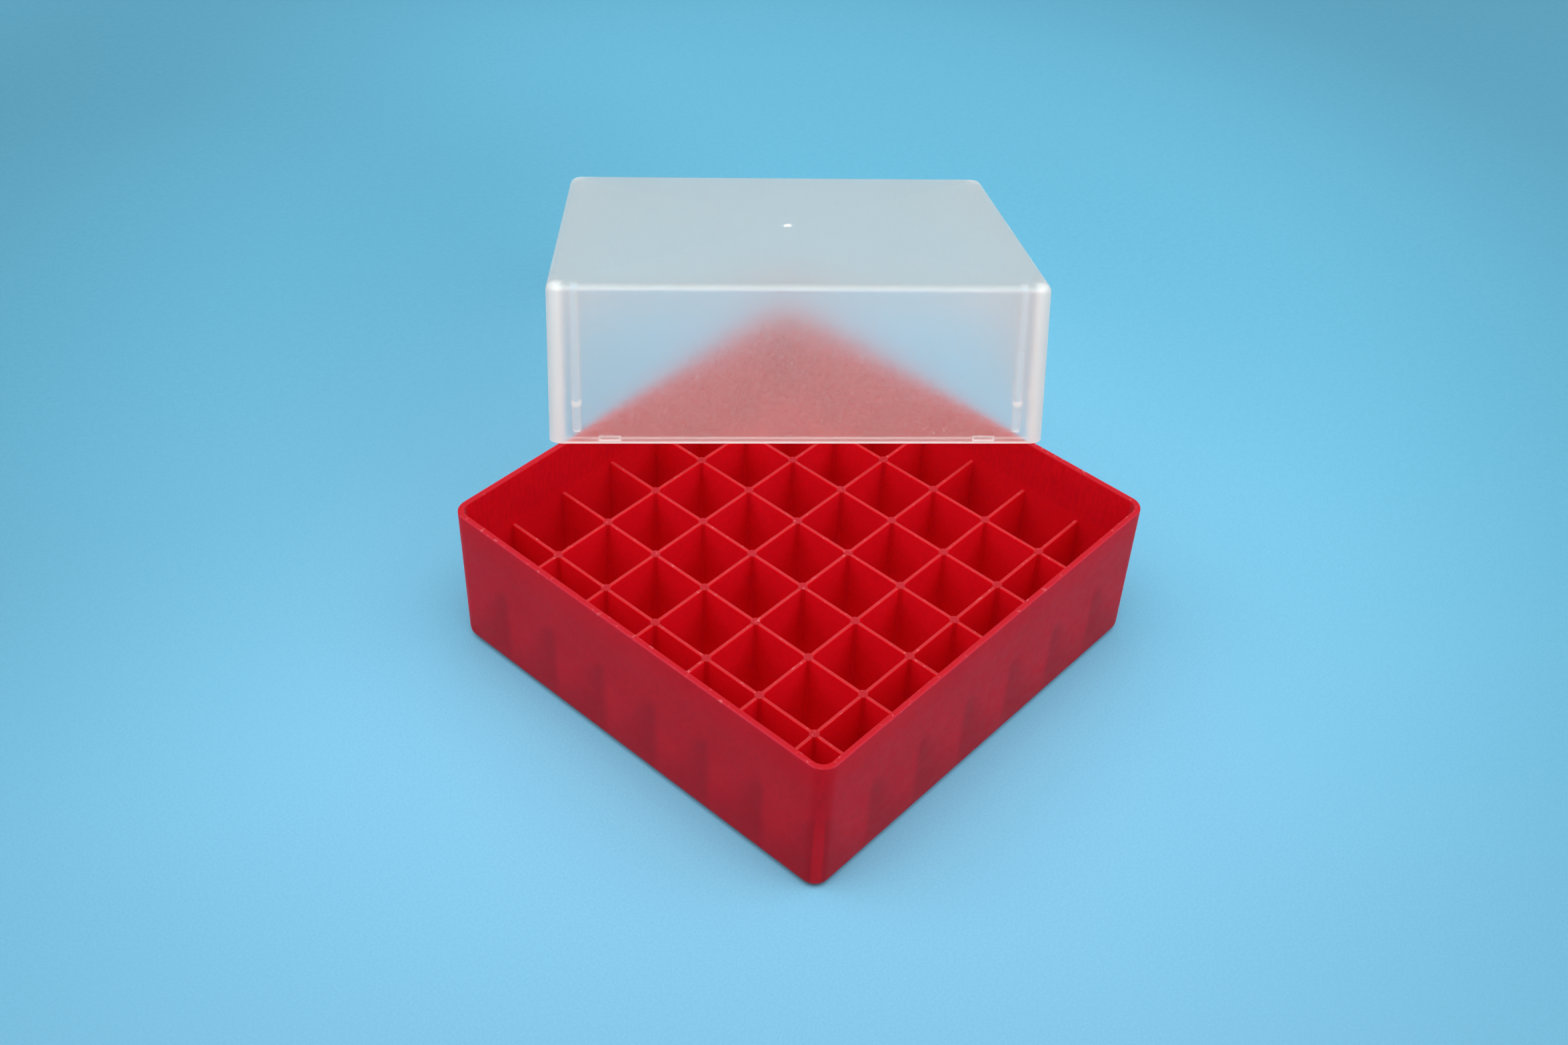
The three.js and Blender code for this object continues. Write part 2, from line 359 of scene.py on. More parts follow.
def wall_loop():
    """The tray's inner wall where the grid ends: (x, y, outward x, outward y, height), counter-clockwise."""
    side = []
    for place in [-CORNER_CENTRE] + DIVIDERS + [CORNER_CENTRE]:
        if abs(place) == CORNER_CENTRE:
            side.append((TRAY_INSIDE_HALF, place, 1, 0, DIVIDER_EDGE))
            continue
        for across, height in divider_section():
            side.append((TRAY_INSIDE_HALF, place + across, 1, 0, height))
    for x, y in arc((0, 0), 1, 0, 90, CORNER_STEPS)[1:-1]:
        point = (CORNER_CENTRE + INNER_CORNER_RADIUS * x, CORNER_CENTRE + INNER_CORNER_RADIUS * y)
        side.append((point[0], point[1], x, y, DIVIDER_EDGE))
    loop = []
    for quarter in range(4):
        for x, y, out_x, out_y, height in side:
            loop.append((*turned((x, y), quarter), *turned((out_x, out_y), quarter), height))
    return loop


def shell_profile():
    """From the inner wall over the rim, down the outside and under the bottom edge: (outward, height)."""
    wall = TRAY_HALF - TRAY_INSIDE_HALF
    profile = [(0.0, GRID_TOP + 1), (0.0, (GRID_TOP + TRAY_HEIGHT) / 2)]
    centre = TRAY_HEIGHT - RIM_EDGE_RADIUS
    profile += arc((RIM_EDGE_RADIUS, centre), RIM_EDGE_RADIUS, 180, 90, RIM_STEPS)
    profile += arc((wall - RIM_EDGE_RADIUS, centre), RIM_EDGE_RADIUS, 90, 0, RIM_STEPS)
    foot = TRAY_FOOT_HALF - TRAY_INSIDE_HALF
    for height in TRAY_WALL_LEVELS:
        profile.append((foot + (wall - foot) * height / TRAY_HEIGHT, height))
    corner = foot + (wall - foot) * TRAY_BOTTOM_RADIUS / TRAY_HEIGHT
    centre = (corner - TRAY_BOTTOM_RADIUS, TRAY_BOTTOM_RADIUS)
    profile += arc(centre, TRAY_BOTTOM_RADIUS, 0, -90, BOTTOM_STEPS)
    return profile


def add_shell(faces):
    """The tray's wall above the grid, its rim, its outside and its underside."""
    loop = wall_loop()
    rows = [[(x, y, height) for x, y, _, _, height in loop]]
    for outward, height in shell_profile():
        rows.append([(x + outward * u, y + outward * v, height) for x, y, u, v, _ in loop])
    loft(faces, rows)
    fan(faces, rows[-1], (0.0, 0.0, 0.0))


def make_tray():
    faces = []
    for column in range(CELLS_PER_SIDE):
        for row in range(CELLS_PER_SIDE):
            add_cell(faces, column, row)
    add_divider_tops(faces)
    add_post_tops(faces)
    add_shell(faces)
    tray = mesh_object("tray_moulding", faces)
    smooth(tray)
    return tray


# ---- lid ---------------------------------------------------------------------
def square_loop(half, radius, height):
    """A square with round corners, counter-clockwise."""
    centre = half - radius
    corner = arc((centre, centre), radius, 0, 90, CORNER_STEPS)
    return [(*turned(point, quarter), height) for quarter in range(4) for point in corner]


def lid_outer_half(height):
    """Half the lid's outer width at a height. The walls lean in a little towards the top."""
    return LID_HALF + (LID_TOP_HALF - LID_HALF) * height / LID_HEIGHT


def gate_loop(radius, height):
    """A ring round the middle of the lid's top, with as many points as a square loop.

    The small rings, round the stub, are uneven.
    """
    points = []
    for x, y, _ in square_loop(LID_TOP_HALF, LID_CORNER_RADIUS, height):
        angle = math.atan2(y, x)
        uneven = 1.0
        if radius < GATE_UNEVEN_WITHIN:
            uneven += sum(share * math.sin(waves * angle + turn) for share, waves, turn in GATE_WAVES)
        points.append((radius * uneven * math.cos(angle), radius * uneven * math.sin(angle), height))
    return points


def lid_shell():
    """The lid without its ribs and bumps, from its ceiling round the open rim to the middle of its top."""
    inner_radius = LID_CORNER_RADIUS - LID_WALL
    loops = []
    # ceiling and inner fillet, down to the rim
    ceiling = LID_HEIGHT - LID_PLATE
    centre = (0, ceiling - LID_INNER_TOP_RADIUS)
    for across, height in arc(centre, LID_INNER_TOP_RADIUS, 90, 0, RIM_STEPS):
        narrowed = LID_INNER_TOP_RADIUS - across
        half = lid_outer_half(height) - LID_WALL - narrowed
        loops.append(square_loop(half, inner_radius - narrowed, height))
    for height in (*LID_WALL_LEVELS, LEAD_IN_HEIGHT):
        loops.append(square_loop(lid_outer_half(height) - LID_WALL, inner_radius, height))
    loops.append(square_loop(LID_HALF - LID_WALL + LEAD_IN_DEPTH, inner_radius + LEAD_IN_DEPTH, 0.0))
    # rim and outside
    for across, height in arc((-LID_RIM_RADIUS, LID_RIM_RADIUS), LID_RIM_RADIUS, -90, 0, RIM_STEPS):
        loops.append(square_loop(LID_HALF + across, LID_CORNER_RADIUS + across, height))
    for height in reversed(LID_WALL_LEVELS):
        loops.append(square_loop(lid_outer_half(height), LID_CORNER_RADIUS, height))
    centre = (-LID_TOP_RADIUS, LID_HEIGHT - LID_TOP_RADIUS)
    for across, height in arc(centre, LID_TOP_RADIUS, 0, 90, TOP_STEPS):
        loops.append(square_loop(lid_outer_half(height) + across, LID_CORNER_RADIUS + across, height))
    # the gate mark: a rough stub in the middle of a shallow dimple
    for radius, depth in GATE_PROFILE:
        loops.append(gate_loop(radius, LID_HEIGHT - depth))
    faces = []
    loft(faces, loops)
    fan(faces, loops[0], (0.0, 0.0, ceiling))
    fan(faces, loops[-1], (0.0, 0.0, loops[-1][0][2]))
    return mesh_object("lid_moulding", faces)


def on_every_wall(name, faces, offset):
    """The shape, drawn on the wall at -Y, on both sides of the middle of all four walls."""
    copies = []
    for quarter in range(4):
        for side in (-offset, offset):
            for face in faces:
                copies.append([(*turned((x + side, y), quarter), z) for x, y, z in face])
    return mesh_object(name, copies)


def rib(name, depth, start):
    """An upright bar with a half-round lower end and round front edges."""
    half = RIB_WIDTH / 2
    face_y = -(LID_HALF - LID_WALL)
    end = LID_HEIGHT - LID_PLATE / 2
    radius = RIB_EDGE_RADIUS
    levels = [(0.0, -LID_WALL / 2)]
    for across, inward in arc((0, depth - radius), radius, 0, 90, EDGE_STEPS):
        levels.append((radius - across, inward))
    rows = []
    for narrowed, inward in levels:
        outline = arc((0, start + half), half - narrowed, 180, 360, 2 * ARC_STEPS)
        outline += [(half - narrowed, end), (-(half - narrowed), end)]
        rows.append([(x, face_y + inward, z) for x, z in outline])
    faces = []
    loft(faces, rows)
    faces.append(rows[0][::-1])
    faces.append(rows[-1])
    return on_every_wall(name, faces, RIB_OFFSET)


def snap_bumps():
    """Low half-round bars with tapered ends, at the bevel of the rim."""
    face_y = -(LID_HALF - LID_WALL)
    half = BUMP_LENGTH / 2
    shares = (
        (-half, BUMP_END), (-half + BUMP_TAPER, 1.0), (half - BUMP_TAPER, 1.0), (half, BUMP_END),
    )
    last_angle = 360 - 360 / BUMP_SIDES
    rows = []
    for x, share in shares:
        ring = arc((0, 0), BUMP_RADIUS * share, 0, last_angle, BUMP_SIDES - 1)
        rows.append([(x, face_y + u, BUMP_HEIGHT + v) for u, v in ring])
    faces = []
    loft(faces, rows)
    faces.append(rows[0][::-1])
    faces.append(rows[-1])
    return on_every_wall("snap_bumps", faces, BUMP_OFFSET)


def lid_place():
    """Where the leaning lid stands: its back edge on the table, its front edge just above the tray's rim."""
    slope = LID_HALF * math.cos(LEAN_TILT)
    diagonal = LEAN_REACH / math.sqrt(2)
    place = Vector((
        diagonal - math.sin(LEAN_YAW) * slope,
        diagonal + math.cos(LEAN_YAW) * slope,
        LID_HALF * math.sin(LEAN_TILT),
    ))
    turn = Matrix.Rotation(LEAN_YAW, 4, "Z") @ Matrix.Rotation(-LEAN_TILT, 4, "X")
    return Matrix.Translation(place * MM) @ turn


def make_lid():
    lid = lid_shell()
    unite(lid, [
        rib("guide_ribs", GUIDE_RIB_DEPTH, GUIDE_RIB_START),
        rib("stop_ribs", STOP_RIB_DEPTH, STOP_RIB_START),
        snap_bumps(),
    ])
    keep_own_frame(lid)
    lid.data.transform(lid_place())
    smooth(lid)
    return lid


# ---- materials ---------------------------------------------------------------
# colours, as linear red, green and blue
RED_DEEP = (0.79, 0.004, 0.014)
RED_PALE = (0.85, 0.006, 0.018)
# painted highlights: the divider tops, post pads and rim are pinker where the overhead light catches them
RED_DIVIDER_TOP_HIGHLIGHT = (0.59, 0.038, 0.046)
RED_POST_PAD_HIGHLIGHT = (0.52, 0.024, 0.035)
RED_RIM_HIGHLIGHT = (0.56, 0.014, 0.026)
RED_RIM_EDGE_HIGHLIGHT = (0.59, 0.024, 0.050)
RED_SCUFF = (0.72, 0.16, 0.17)
LID_COOL = (0.89, 1.0, 1.0)
LID_CLEAR = (0.905, 1.0, 1.0)
LID_WHITE = (1.0, 0.965, 0.93)
# the walls' pink is a painted reflection of the red tray's light
LID_WALL_RED_BOUNCE = (1.0, 0.915, 0.89)
LID_WALL_PALE_BOUNCE = (1.0, 0.93, 0.91)
TRAY_SMOOTHEST = (0.38, 0.38, 0.38)
TRAY_ROUGHEST = (0.48, 0.48, 0.48)
LID_SMOOTHEST = (0.32, 0.32, 0.32)
LID_ROUGHEST = (0.42, 0.42, 0.42)
LID_TOP_CLEARNESS = 0.85
LID_WALL_CLEARNESS = 0.90
FLOOR_DEEP = (0.155, 0.51, 0.71)
FLOOR_MIDDLE = (0.17, 0.53, 0.74)
FLOOR_SHEEN = (0.27, 0.65, 0.90)

PLASTIC_IOR = 1.49
# noise scales, per metre: how fine each pattern is
TRAY_CLOUDS = 60
TRAY_MOTTLE = 900
TRAY_STREAKS = 1300
TRAY_SCUFFS = 700
TRAY_POLISH = 400
LID_CLOUDS = 80
LID_GRAIN = 1100
LID_SPARKLE = 2000
PAPER_CLOUDS = 500
PAPER_TOOTH = 1500
# most of a noise's values lie between these two
NOISE_LOW = 0.3
NOISE_HIGH = 0.7
# the noise values between which a pattern fades in
TRAY_MOTTLE_RANGE = (0.35, 0.65)
TRAY_STREAK_RANGE = (0.35, 0.65)
TRAY_SCUFF_RANGE = (0.60, 0.70)
LID_GRAIN_RANGE = (0.35, 0.7)
LID_SPARKLE_RANGE = (0.70, 0.75)

# how much each pattern darkens the colour under it, where it is strongest; the cell, outside and foot ones on
# the tray and the two floor ones are painted shade
MOTTLE_SHADE = 0.09
CELL_SHADE = 0.24
OUTSIDE_SHADE = 0.08
FOOT_SHADE = 0.14
STREAK_SHADE = 0.12
LID_SHADOW_SHADE = 0.14
LIGHT_FALLOFF_SHADE = 0.25
TOOTH_SHADE = 0.09
# how white the lid's painted corners and painted glints are, and how much of its clearness grain and haze
# take away
CORNER_HAZE = 0.75
SPARKLE_HAZE = 0.9
GRAIN_HIDES = 0.06
HAZE_HIDES = 0.77

# Soft changes, each from the place where it starts to the place where it is complete, in millimetres.
# On the tray, outward from its middle:
TRAY_INSIDE = (62.3, 62.0)
TRAY_OUTSIDE = (63.0, 63.4)
TRAY_SKIN = (63.2, 63.5)
TRAY_RIM_LINE = (63.5, 63.75)
# On the tray, by height:
TRAY_FOOT = (16.0, 1.0)
DIVIDER_TOPS = (27.92, 27.99)
POST_PADS = (28.0, 28.12)
ABOVE_GRID = (28.5, 31.0)
TRAY_RIM = (43.55, 43.9)
# On the lid, outward from its middle, or along a wall for its corners:
LID_CORNERS = (61.0, 63.6)
LID_WALLS = (63.0, 64.0)
LID_TOP_EDGE_OUTWARD = (64.8, 65.6)
GATE_OUTWARD = (1.5, 1.0)
# On the lid, by height:
LID_RIM = (0.6, 0.3)
LID_TOP_EDGE_HEIGHT = (41.9, 42.8)
LID_TOP = (42.2, 42.8)
GATE_HEIGHT = (43.0, 43.3)
# On the lid, by the distance from a rib's middle, its tip's arc, the bevel's line or a bump's outline:
RIB_ACROSS = (1.25, 0.8)
RIB_TIP_LINE = (0.65, 0.35)
BEVEL_LINE = (0.35, 0.1)
BUMP_LINE = (0.3, 0.1)
RIB_START_FADE = 0.6
# the rib tip's bright line is a painted highlight
RIB_TIP_BELOW = (0.6, 0.1)      # the tip's bright line is only below the middle of its arc
RIB_TIP_RADIUS = 0.85

# where painted shade stands for the dim corners of the cells showing through the outer wall, in millimetres
SHADE_LEAD = 2.5
SHADE_TRAIL = 0.8
SHADE_WIDTH = 2.0
SHADE_SLOPE = 0.62
SHADE_FADE_START = 0.1          # this and the next are shares of the band's width
SHADE_FADE_END = 1.3
SHADE_BELOW_GRID = (-1.0, 5.0)
SHADE_ABOVE_TABLE = (-4.0, 12.0)

# painted light and shade on the floor, as soft patches: their middles, and how far from there they start and
# are complete, in millimetres
FLOOR_SHEEN_AT = (-110.0, -90.0, 0.0)
FLOOR_SHEEN_REACH = (380, 60)
LID_SHADOW_AT = (-40.0, 260.0, 0.0)
LID_SHADOW_REACH = (240, 110)
LIGHT_POOL_AT = (109.0, 107.0, 0.0)
LIGHT_POOL_REACH = (350, 160)


class Nodes:
    """A short way to write a node material."""

    def __init__(self, name):
        self.material = bpy.data.materials.new(name)
        self.material.use_nodes = True
        self.tree = self.material.node_tree
        self.tree.nodes.clear()
        self.output = self.add("ShaderNodeOutputMaterial")

    def add(self, kind, **values):
        node = self.tree.nodes.new(kind)
        for key, value in values.items():
            if key in node.inputs:
                node.inputs[key].default_value = value
            else:
                setattr(node, key, value)
        return node

    def link(self, source, target):
        self.tree.links.new(source, target)

    def noise(self, scale, detail=3.0, roughness=0.5, vector=None):
        node = self.add("ShaderNodeTexNoise", Scale=scale, Detail=detail, Roughness=roughness)
        if vector is None:
            vector = self.add("ShaderNodeTexCoord").outputs["Object"]
        self.link(vector, node.inputs["Vector"])
        return node.outputs["Fac"]

    def math(self, operation, *values):
        """The result of one math node. Each value is a number or another node's output."""
        node = self.add("ShaderNodeMath", operation=operation)
        for socket, value in zip(node.inputs, values):
            if isinstance(value, (int, float)):
                socket.default_value = value
            else:
                self.link(value, socket)
        return node.outputs[0]

    def times(self, value, other):
        return self.math("MULTIPLY", value, other)

    def apart(self, value, other):
        """How far apart the two values are."""
        return self.math("ABSOLUTE", self.math("SUBTRACT", value, other))

    def rise(self, value, start, end):
        """Goes smoothly from 0 where the value is start to 1 where it is end, and stays there."""
        node = self.add("ShaderNodeMapRange", interpolation_type="SMOOTHSTEP")
        for name, part in (("Value", value), ("From Min", start), ("From Max", end)):
            if isinstance(part, (int, float)):
                node.inputs[name].default_value = part
            else:
                self.link(part, node.inputs[name])
        return node.outputs["Result"]

    def near(self, vector, centre, far, close):
        """Goes from 0 at the far distance from the centre to 1 at the close one, all in millimetres."""
        away = self.add("ShaderNodeVectorMath", operation="DISTANCE")
        self.link(vector, away.inputs[0])
        away.inputs[1].default_value = [part * MM for part in centre]
        return self.rise(away.outputs["Value"], far * MM, close * MM)

    def blend(self, share, colour, other):
        """Goes from the first colour to the other one as the share goes from 0 to 1."""
        node = self.add("ShaderNodeMix", data_type="RGBA")
        self.link(share, node.inputs["Factor"])
        for socket, part in ((node.inputs[6], colour), (node.inputs[7], other)):
            if isinstance(part, tuple):
                socket.default_value = (*part, 1)
            else:
                self.link(part, socket)
        return node.outputs[2]

    def shade(self, colour, share, strength):
        """Darkens the colour by up to the strength, where the share is 1."""
        factor = self.math("SUBTRACT", 1.0, self.math("MULTIPLY", share, strength))
        node = self.add("ShaderNodeVectorMath", operation="SCALE")
        self.link(colour, node.inputs[0])
        self.link(factor, node.inputs["Scale"])
        return node.outputs[0]

    def square_place(self, vector):
        """Where a point is in a square piece, in millimetres.

        The three values are its distance from the middle towards the nearest wall, its signed place along
        that wall, and its height.
        """
        parts = self.add("ShaderNodeSeparateXYZ")
        self.link(vector, parts.inputs[0])
        x, y, z = [self.math("MULTIPLY", part, 1 / MM) for part in parts.outputs]
        size_x = self.math("ABSOLUTE", x)
        size_y = self.math("ABSOLUTE", y)
        outward = self.math("MAXIMUM", size_x, size_y)
        faces_x = self.math("GREATER_THAN", size_x, size_y)
        along = self.math("ADD", x, self.math("MULTIPLY", faces_x, self.math("SUBTRACT", y, x)))
        return outward, along, z

    def ramp(self, value, low, high, low_colour, high_colour):
        node = self.add("ShaderNodeValToRGB")
        first, last = node.color_ramp.elements
        first.position = low
        first.color = (*low_colour, 1)
        last.position = high
        last.color = (*high_colour, 1)
        self.link(value, node.inputs["Fac"])
        return node.outputs["Color"]

    def bump(self, height, strength, distance):
        node = self.add("ShaderNodeBump", Strength=strength, Distance=distance)
        self.link(height, node.inputs["Height"])
        return node.outputs["Normal"]


def wall_shade(nodes, outward, along, height):
    """Painted shade on the tray's outer wall, where the dim corner of a cell shows through it: how dark, from
    0 to 1.
    """
    past_divider = nodes.math("SUBTRACT", along, DIVIDERS[0] - SHADE_LEAD)
    place = nodes.math("SUBTRACT", nodes.math("FLOORED_MODULO", past_divider, CELL_PITCH), SHADE_LEAD)
    depth = nodes.math("SUBTRACT", GRID_TOP, height)
    width = nodes.math("ADD", nodes.times(depth, SHADE_SLOPE), SHADE_WIDTH)
    near = nodes.rise(place, -SHADE_LEAD, SHADE_TRAIL)
    far = nodes.rise(place, nodes.times(width, SHADE_FADE_START), nodes.times(width, SHADE_FADE_END))
    band = nodes.times(near, nodes.math("SUBTRACT", 1.0, far))
    band = nodes.times(band, nodes.rise(depth, *SHADE_BELOW_GRID))
    band = nodes.times(band, nodes.rise(height, *SHADE_ABOVE_TABLE))
    return nodes.times(band, nodes.rise(outward, *TRAY_SKIN))


def red_plastic():
    """Translucent red polypropylene: light soaks in and comes out a millimetre away."""
    nodes = Nodes("red_polypropylene")
    shader = nodes.add("ShaderNodeBsdfPrincipled")
    shader.inputs["Subsurface Weight"].default_value = 1.0
    shader.inputs["Subsurface Radius"].default_value = (1.0, 0.08, 0.06)
    shader.inputs["Subsurface Scale"].default_value = 1.0 * MM
    shader.inputs["IOR"].default_value = PLASTIC_IOR
    shader.inputs["Specular IOR Level"].default_value = 0.08
    place = nodes.add("ShaderNodeTexCoord").outputs["Object"]
    outward, along, height = nodes.square_place(place)
    inside = nodes.rise(outward, *TRAY_INSIDE)
    mottle = nodes.noise(TRAY_MOTTLE, detail=6.0, roughness=0.7)

    colour = nodes.ramp(nodes.noise(TRAY_CLOUDS), NOISE_LOW, NOISE_HIGH, RED_DEEP, RED_PALE)
    colour = nodes.shade(colour, nodes.rise(mottle, *TRAY_MOTTLE_RANGE), MOTTLE_SHADE)
    # painted shade: the cells' dim corners, seen through the translucent outer wall, darken its colour in
    # bands
    colour = nodes.shade(colour, wall_shade(nodes, outward, along, height), CELL_SHADE)
    # painted shade: the outer wall a little darker than the inside, and darker still towards its foot
    outside = nodes.rise(outward, *TRAY_OUTSIDE)
    colour = nodes.shade(colour, outside, OUTSIDE_SHADE)
    foot = nodes.times(outside, nodes.rise(height, *TRAY_FOOT))
    colour = nodes.shade(colour, foot, FOOT_SHADE)
    # faint vertical draw marks on the inner walls, above the grid
    stretched = nodes.add("ShaderNodeMapping")
    stretched.inputs["Scale"].default_value = (1.0, 1.0, 0.12)
    nodes.link(place, stretched.inputs["Vector"])
    streaks = nodes.noise(TRAY_STREAKS, detail=4.0, roughness=0.7, vector=stretched.outputs["Vector"])
    streaks = nodes.rise(streaks, *TRAY_STREAK_RANGE)
    above_grid = nodes.math("SUBTRACT", nodes.rise(height, *ABOVE_GRID), outside)
    above_grid = nodes.math("MAXIMUM", above_grid, 0.0)
    colour = nodes.shade(colour, nodes.times(streaks, above_grid), STREAK_SHADE)
    # painted highlights on the thin tops of the dividers, the round pads of the posts and the rim, with a
    # brighter painted line along the rim's outer edge
    tops = nodes.times(inside, nodes.rise(height, *DIVIDER_TOPS))
    colour = nodes.blend(tops, colour, RED_DIVIDER_TOP_HIGHLIGHT)
    pads = nodes.times(inside, nodes.rise(height, *POST_PADS))
    colour = nodes.blend(pads, colour, RED_POST_PAD_HIGHLIGHT)
    rim = nodes.rise(height, *TRAY_RIM)
    colour = nodes.blend(rim, colour, RED_RIM_HIGHLIGHT)
    rim_line = nodes.times(rim, nodes.rise(outward, *TRAY_RIM_LINE))
    colour = nodes.blend(rim_line, colour, RED_RIM_EDGE_HIGHLIGHT)
    # small scuffs, only on the edges that get rubbed
    rubbed = nodes.math("MAXIMUM", rim, tops)
    scuffs = nodes.rise(nodes.noise(TRAY_SCUFFS, detail=5.0, roughness=0.6), *TRAY_SCUFF_RANGE)
    colour = nodes.blend(nodes.times(rubbed, scuffs), colour, RED_SCUFF)
    nodes.link(colour, shader.inputs["Base Color"])

    polish = nodes.noise(TRAY_POLISH)
    rough = nodes.ramp(polish, NOISE_LOW, NOISE_HIGH, TRAY_SMOOTHEST, TRAY_ROUGHEST)
    nodes.link(rough, shader.inputs["Roughness"])
    nodes.link(nodes.bump(mottle, 0.35, 0.05 * MM), shader.inputs["Normal"])
    nodes.link(shader.outputs["BSDF"], nodes.output.inputs["Surface"])
    return nodes.material


def painted_lid_haze(nodes, outward, along, height):
    """Painted whiteness and highlights where light meets more plastic: at the lid's corners, edges, ribs and
    rim.
    """
    sideways = nodes.math("ABSOLUTE", along)
    corner = nodes.rise(sideways, *LID_CORNERS)
    wall = nodes.rise(outward, *LID_WALLS)
    top_edge = nodes.times(
        nodes.rise(outward, *LID_TOP_EDGE_OUTWARD), nodes.rise(height, *LID_TOP_EDGE_HEIGHT)
    )
    # painted whiteness on the ribs, and a painted highlight round the half-round tip of a stop rib
    from_rib = nodes.apart(sideways, RIB_OFFSET)
    on_rib = nodes.times(wall, nodes.rise(from_rib, *RIB_ACROSS))
    stop_rib = nodes.times(on_rib, nodes.rise(height, STOP_RIB_START, STOP_RIB_START + RIB_START_FADE))
    guide_rib = nodes.times(on_rib, nodes.rise(height, GUIDE_RIB_START, GUIDE_RIB_START + RIB_START_FADE))
    over_tip = nodes.math("SUBTRACT", height, STOP_RIB_START + RIB_WIDTH / 2)
    squares = nodes.math("ADD", nodes.math("POWER", from_rib, 2.0), nodes.times(over_tip, over_tip))
    from_arc = nodes.apart(nodes.math("SQRT", squares), RIB_TIP_RADIUS)
    crescent = nodes.times(nodes.rise(from_arc, *RIB_TIP_LINE), nodes.rise(over_tip, *RIB_TIP_BELOW))
    rib_tip_highlight = nodes.times(wall, crescent)
    # painted highlights on the rim, on the line where its bevel starts, and round the outlines of the snap
    # bumps
    rim = nodes.rise(height, *LID_RIM)
    bevel_line = nodes.times(wall, nodes.rise(nodes.apart(height, LEAD_IN_HEIGHT), *BEVEL_LINE))
    over_bump = nodes.math("SUBTRACT", nodes.apart(height, BUMP_HEIGHT), BUMP_RADIUS)
    past_bump = nodes.math("SUBTRACT", nodes.apart(sideways, BUMP_OFFSET), BUMP_LENGTH / 2)
    from_outline = nodes.math("ABSOLUTE", nodes.math("MAXIMUM", over_bump, past_bump))
    bump_outline = nodes.times(wall, nodes.rise(from_outline, *BUMP_LINE))

    # each painted highlight and how white it is
    features = (
        (top_edge, 0.2), (stop_rib, 0.35), (guide_rib, 0.22), (rib_tip_highlight, 1.0),
        (rim, 0.8), (bevel_line, 0.4), (bump_outline, 0.6),
    )
    haze = nodes.times(corner, CORNER_HAZE)
    for part, strength in features:
        haze = nodes.math("MAXIMUM", haze, nodes.times(part, strength))
    return haze


def frosted_plastic():
    """Frosted clear polypropylene: it lets light through and spreads it, with painted whiteness and
    highlights at its edges, ribs and rim.
    """
    nodes = Nodes("frosted_polypropylene")
    shader = nodes.add("ShaderNodeBsdfPrincipled")
    shader.inputs["IOR"].default_value = PLASTIC_IOR
    shader.inputs["Sheen Weight"].default_value = 0.45
    shader.inputs["Sheen Roughness"].default_value = 0.5
    place = nodes.add("ShaderNodeAttribute", attribute_name="own_frame").outputs["Vector"]
    outward, along, height = nodes.square_place(place)
    grain = nodes.noise(LID_GRAIN, detail=5.0, roughness=0.65)
    haze = painted_lid_haze(nodes, outward, along, height)
    # the gate stub is white and not clear: a thick nub, with its white a painted highlight
    gate = nodes.times(nodes.rise(outward, *GATE_OUTWARD), nodes.rise(height, *GATE_HEIGHT))
    # painted glints: fine white specks from a noise
    sparkle = nodes.rise(nodes.noise(LID_SPARKLE, detail=2.0), *LID_SPARKLE_RANGE)
    sparkle = nodes.times(sparkle, SPARKLE_HAZE)
    haze = nodes.math("MAXIMUM", nodes.math("MAXIMUM", haze, sparkle), gate)

    # a little clearer in the walls than in the top plate, and less clear where there is haze
    on_top = nodes.rise(height, *LID_TOP)
    difference = LID_TOP_CLEARNESS - LID_WALL_CLEARNESS
    clear = nodes.math("MULTIPLY_ADD", on_top, difference, LID_WALL_CLEARNESS)
    hidden = nodes.times(nodes.rise(grain, *LID_GRAIN_RANGE), GRAIN_HIDES)
    clear = nodes.math("SUBTRACT", clear, hidden)
    clear = nodes.times(clear, nodes.math("MULTIPLY_ADD", haze, -HAZE_HIDES, 1.0))
    clear = nodes.times(clear, nodes.math("SUBTRACT", 1.0, gate))
    nodes.link(clear, shader.inputs["Transmission Weight"])
    colour = nodes.ramp(nodes.noise(LID_CLOUDS), NOISE_LOW, NOISE_HIGH, LID_COOL, LID_CLEAR)
    # painted reflection: the walls tinted pink for the tray's red light scattered in them
    walls = nodes.blend(nodes.rise(grain, NOISE_LOW, NOISE_HIGH), LID_WALL_RED_BOUNCE, LID_WALL_PALE_BOUNCE)
    colour = nodes.blend(on_top, walls, colour)
    nodes.link(nodes.blend(haze, colour, LID_WHITE), shader.inputs["Base Color"])
    rough = nodes.ramp(grain, NOISE_LOW, NOISE_HIGH, LID_SMOOTHEST, LID_ROUGHEST)
    nodes.link(rough, shader.inputs["Roughness"])
    nodes.link(nodes.bump(grain, 0.35, 0.05 * MM), shader.inputs["Normal"])
    nodes.link(shader.outputs["BSDF"], nodes.output.inputs["Surface"])
    return nodes.material


